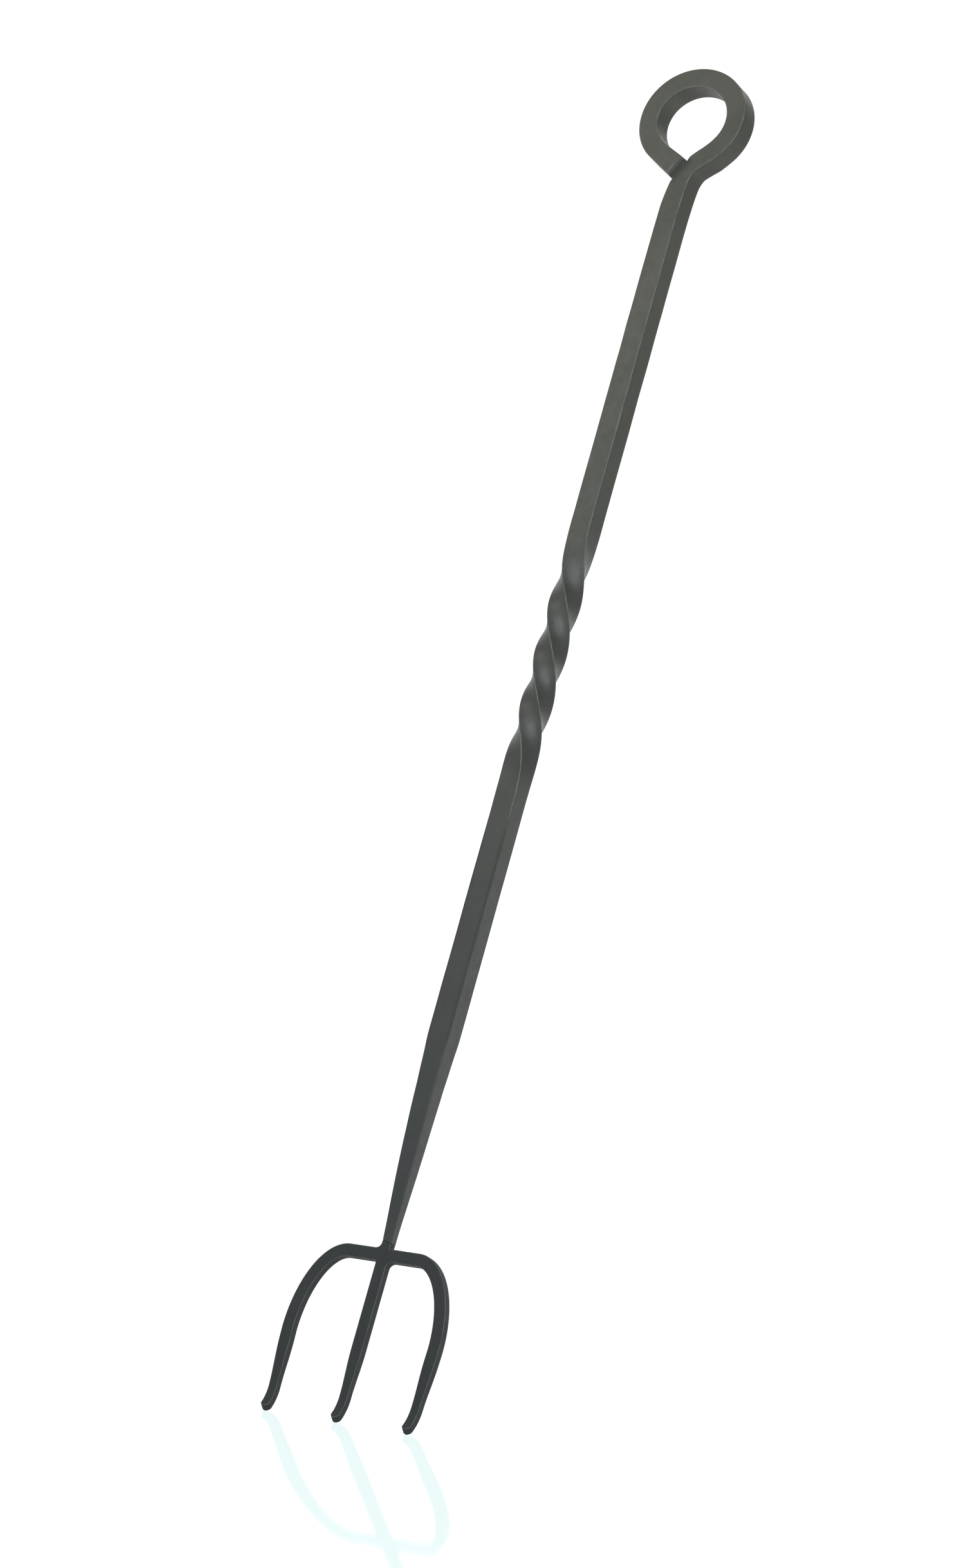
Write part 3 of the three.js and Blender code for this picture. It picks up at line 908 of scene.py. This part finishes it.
def camera():
    data = bpy.data.cameras.new("camera")
    data.lens = CAMERA_LENS
    data.sensor_width = 36
    data.clip_start = 0.1
    data.clip_end = 20
    made = bpy.data.objects.new("camera", data)
    bpy.context.scene.collection.objects.link(made)
    level = Vector((0, 0, 1)).cross(TO_CAMERA).normalized()
    upright = TO_CAMERA.cross(level)
    right = level * math.cos(CAMERA_ROLL) + upright * math.sin(CAMERA_ROLL)
    up = upright * math.cos(CAMERA_ROLL) - level * math.sin(CAMERA_ROLL)
    axes = Matrix((right, up, TO_CAMERA)).transposed().to_4x4()
    made.matrix_world = Matrix.Translation(CAMERA_AIM + TO_CAMERA * CAMERA_DISTANCE) @ axes
    bpy.context.scene.camera = made


TENT_COLOUR = (0.98, 1.0, 0.97)
TENT_ABOVE = 0.4                      # the tent's light from above, and from a pale floor below
TENT_BELOW = 0.95
TENT_BEHIND = 0.9                     # added from the backdrop behind the fork
TENT_AT_CAMERA = 0.45                 # the share of it that is left where the camera stands
BACKDROP_STRENGTH = 1.05


def world():
    """White all round where the camera looks; as light it is a tent, brighter below and behind."""
    made = bpy.data.worlds.new("studio")
    made.use_nodes = True
    tree = made.node_tree
    direction = add_node(tree, "TexCoord").outputs["Generated"]
    height = add_node(tree, "SeparateXYZ", inputs={"Vector": direction}).outputs["Z"]
    facing = add_node(tree, "VectorMath", {"operation": "DOT_PRODUCT"}, {0: direction, 1: TO_CAMERA})
    facing = facing.outputs["Value"]
    level = ranged(tree, height, 0.8, -0.3, TENT_ABOVE, TENT_BELOW, "SMOOTHSTEP")
    behind = ranged(tree, facing, -0.5, -0.9, 0, TENT_BEHIND, "SMOOTHSTEP")
    over_floor = ranged(tree, height, 0.0, 0.3, 0, 1, "SMOOTHSTEP")
    shaded = ranged(tree, facing, 0.6, 0.95, 1, TENT_AT_CAMERA, "SMOOTHSTEP")
    level = add_node(tree, "Math", {"operation": "MULTIPLY_ADD"}, {0: behind, 1: over_floor, 2: level})
    level = add_node(tree, "Math", {"operation": "MULTIPLY"}, {0: level.outputs["Value"], 1: shaded})
    tent = tree.nodes["Background"]
    tent.inputs["Color"].default_value = (*TENT_COLOUR, 1)
    tree.links.new(level.outputs["Value"], tent.inputs["Strength"])
    backdrop = add_node(tree, "Background", inputs={"Color": (1, 1, 1, 1), "Strength": BACKDROP_STRENGTH})
    seen = add_node(tree, "LightPath").outputs["Is Camera Ray"]
    both = add_node(tree, "MixShader", inputs={
        0: seen, 1: tent.outputs["Background"], 2: backdrop.outputs["Background"],
    })
    tree.links.new(both.outputs["Shader"], tree.nodes["World Output"].inputs["Surface"])
    bpy.context.scene.world = made


def softbox(name, place, aim, size, power, colour):
    """A rectangular light that the camera doesn't see."""
    data = bpy.data.lights.new(name, "AREA")
    data.shape = "RECTANGLE"
    data.size, data.size_y = size
    data.energy = power
    data.color = colour
    made = bpy.data.objects.new(name, data)
    bpy.context.scene.collection.objects.link(made)
    made.location = place
    made.rotation_mode = "QUATERNION"
    made.rotation_quaternion = (Vector(aim) - Vector(place)).to_track_quat("-Z", "Y")
    made.visible_camera = False


def softboxes():
    """A small key light from the left, a broad light above the camera, and a weak fill from behind."""
    softbox(
        "key", place=(-0.54, -0.81, 0.2), aim=(0, 0, -0.1),
        size=(0.5, 0.6), power=2.15, colour=(1, 1, 0.9),
    )
    softbox(
        "front", place=(0.76, -1.26, 0.12), aim=(0, 0, -0.33),
        size=(1.7, 0.5), power=18, colour=(0.95, 1, 1.04),
    )
    softbox(
        "fill", place=(0.46, 1.02, -0.42), aim=(0, 0, -0.3),
        size=(0.5, 0.8), power=0.95, colour=(1, 1, 0.96),
    )


FLOOR_TILT = math.radians(30)
FLOOR_SIDES = (-0.5, 0.6)
FLOOR_DEPTH = (-0.9, 0.02)            # it ends just behind the tips, so that it never hides the fork
FLOOR_IN_FRONT = 0.0015               # it passes this far in front of the origin at the tips' height
FLOOR_GLOW = (0.825, 0.94, 0.935)
FLOOR_GLOSS = 0.30
FLOOR_ROUGHNESS = 0.055


def floor():
    """A pale glossy floor that the tips stand on, tilted as the fork leans."""
    contact = Vector((0, -FLOOR_IN_FRONT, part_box("tine_bow")[0].z))
    away = Vector((0, math.cos(FLOOR_TILT), math.sin(FLOOR_TILT)))
    low, high = FLOOR_SIDES
    near, far = FLOOR_DEPTH
    corners = [contact + Vector((x, 0, 0)) + away * y
               for x, y in ((low, near), (high, near), (high, far), (low, far))]
    mesh = bpy.data.meshes.new("floor")
    mesh.from_pydata([tuple(corner) for corner in corners], [], [(0, 1, 2, 3)])
    mesh.materials.append(floor_material())
    made = bpy.data.objects.new("floor", mesh)
    bpy.context.scene.collection.objects.link(made)
    made.visible_diffuse = False
    made.visible_glossy = False


def floor_material():
    """White that glows evenly, with a faint soft reflection over it."""
    material = bpy.data.materials.new("floor")
    material.use_nodes = True
    tree = material.node_tree
    tree.nodes.remove(tree.nodes["Principled BSDF"])
    glow = add_node(tree, "Emission", inputs={"Color": (*FLOOR_GLOW, 1)})
    gloss = add_node(tree, "BsdfGlossy", inputs={
        "Color": (FLOOR_GLOSS,) * 3 + (1,), "Roughness": FLOOR_ROUGHNESS,
    })
    both = add_node(tree, "AddShader", inputs={0: glow.outputs["Emission"], 1: gloss.outputs["BSDF"]})
    tree.links.new(both.outputs["Shader"], tree.nodes["Material Output"].inputs["Surface"])
    return material


# ---------------------------------------------------------------- the scene

camera()
world()
softboxes()
floor()
handle_bar()
eye_weld()
head_pieces()
bpy.context.scene.view_settings.view_transform = "Standard"
